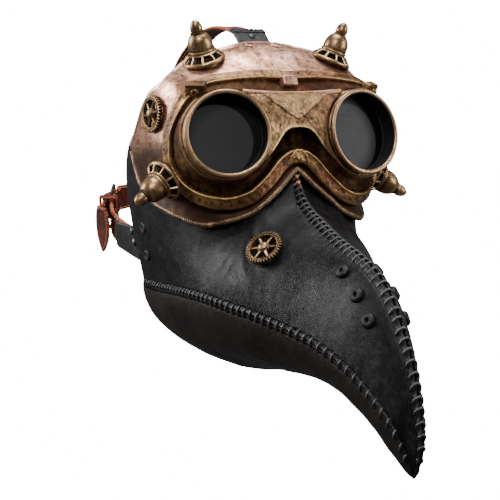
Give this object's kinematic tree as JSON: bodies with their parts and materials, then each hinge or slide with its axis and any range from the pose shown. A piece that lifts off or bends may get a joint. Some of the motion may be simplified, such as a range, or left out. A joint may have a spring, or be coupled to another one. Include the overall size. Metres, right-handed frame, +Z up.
{
  "type": "plague doctor mask",
  "caption": "Costume half mask with a long curved laced-leather beak, riveted round goggles on a copper visor, spikes, gears and buckled head straps.",
  "frame": {"origin": "centre of the wearer's head, level with the lens centres, midway between the ears", "axes": "+X to the wearer's left, -Y forward along the beak, +Z up"},
  "size_m": [0.215, 0.3876, 0.2851],
  "materials": {
    "black_leather": "worn black leather",
    "throat_leather": "brown-black leather",
    "copper_shell": "copper-painted moulded latex",
    "gold_bronze": "gold-bronze painted latex",
    "copper_trim": "copper-painted trim",
    "black_metal": "black metal",
    "dark_lens": "opaque dark grey lens",
    "tan_leather": "red-brown strap leather",
    "lacing_cord": "waxed black cord",
    "antique_bronze": "antique bronze"
  },
  "bodies": {
    "mask": {"face_panel_right": "black_leather", "face_panel_left": "black_leather", "throat_gore": "throat_leather", "visor_shell": "copper_shell", "visor_edge_bead": "gold_bronze", "goggle_frame_right": "antique_bronze", "goggle_frame_left": "antique_bronze", "goggle_lip": "antique_bronze", "bridge_plate": "gold_bronze", "brow_roll": "gold_bronze", "brow_block": "copper_trim", "frame_clamps": "copper_trim", "eyecup_right": "antique_bronze", "eyecup_left": "antique_bronze", "lens_right": "dark_lens", "lens_left": "dark_lens", "lens_retainer_right": "black_metal", "lens_retainer_left": "black_metal", "flange_upper_right": "antique_bronze", "flange_upper_left": "antique_bronze", "flange_lower_right": "antique_bronze", "flange_lower_left": "antique_bronze", "spike_upper_right": "antique_bronze", "spike_upper_left": "antique_bronze", "spike_lower_right": "antique_bronze", "spike_lower_left": "antique_bronze", "point_upper_right": "antique_bronze", "point_upper_left": "antique_bronze", "point_lower_right": "antique_bronze", "point_lower_left": "antique_bronze", "temple_gear_right": "antique_bronze", "temple_gear_left": "antique_bronze", "cheek_gear_right": "antique_bronze", "gear_pins": "antique_bronze", "beak_rivets": "black_metal", "tab_rivets": "black_metal", "cap_rivets": "copper_trim", "strap_rivets": "black_metal", "ridge_lacing": "lacing_cord", "jaw_lacing_right": "lacing_cord", "jaw_lacing_left": "lacing_cord", "side_tab_right": "black_leather", "side_tab_left": "black_leather", "top_tab": "black_leather", "chape_strap": "tan_leather", "back_strap": "tan_leather", "top_strap": "tan_leather"},
    "tail": {"strap_tail": "tan_leather"},
    "buckle": {"buckle_frame": "black_metal"},
    "prong": {"buckle_prong": "antique_bronze"},
    "keeper": {"strap_keeper": "tan_leather"}
  },
  "joints": [
    {"name": "buckle_tilt", "type": "hinge", "parent": "mask", "child": "buckle", "pos_m": [-0.0655, 0.07, -0.062], "axis": [-0.1503, -0.2733, 0.9501], "range_deg": [0, 45]},
    {"name": "prong_lift", "type": "hinge", "parent": "buckle", "child": "prong", "pos_m": [-0.0655, 0.07, -0.062], "axis": [-0.1503, -0.2733, 0.9501], "range_deg": [0, 50]},
    {"name": "keeper_slide", "type": "slide", "parent": "mask", "child": "keeper", "axis": [0.4579, 0.8325, 0.3119], "range_m": [-0.003, 0.003]},
    {"name": "tail_swing", "type": "hinge", "parent": "mask", "child": "tail", "pos_m": [-0.08258, 0.04767, -0.06165], "axis": [-0.2958, 0.9294, 0.2205], "range_deg": [0, 75]}
  ]
}
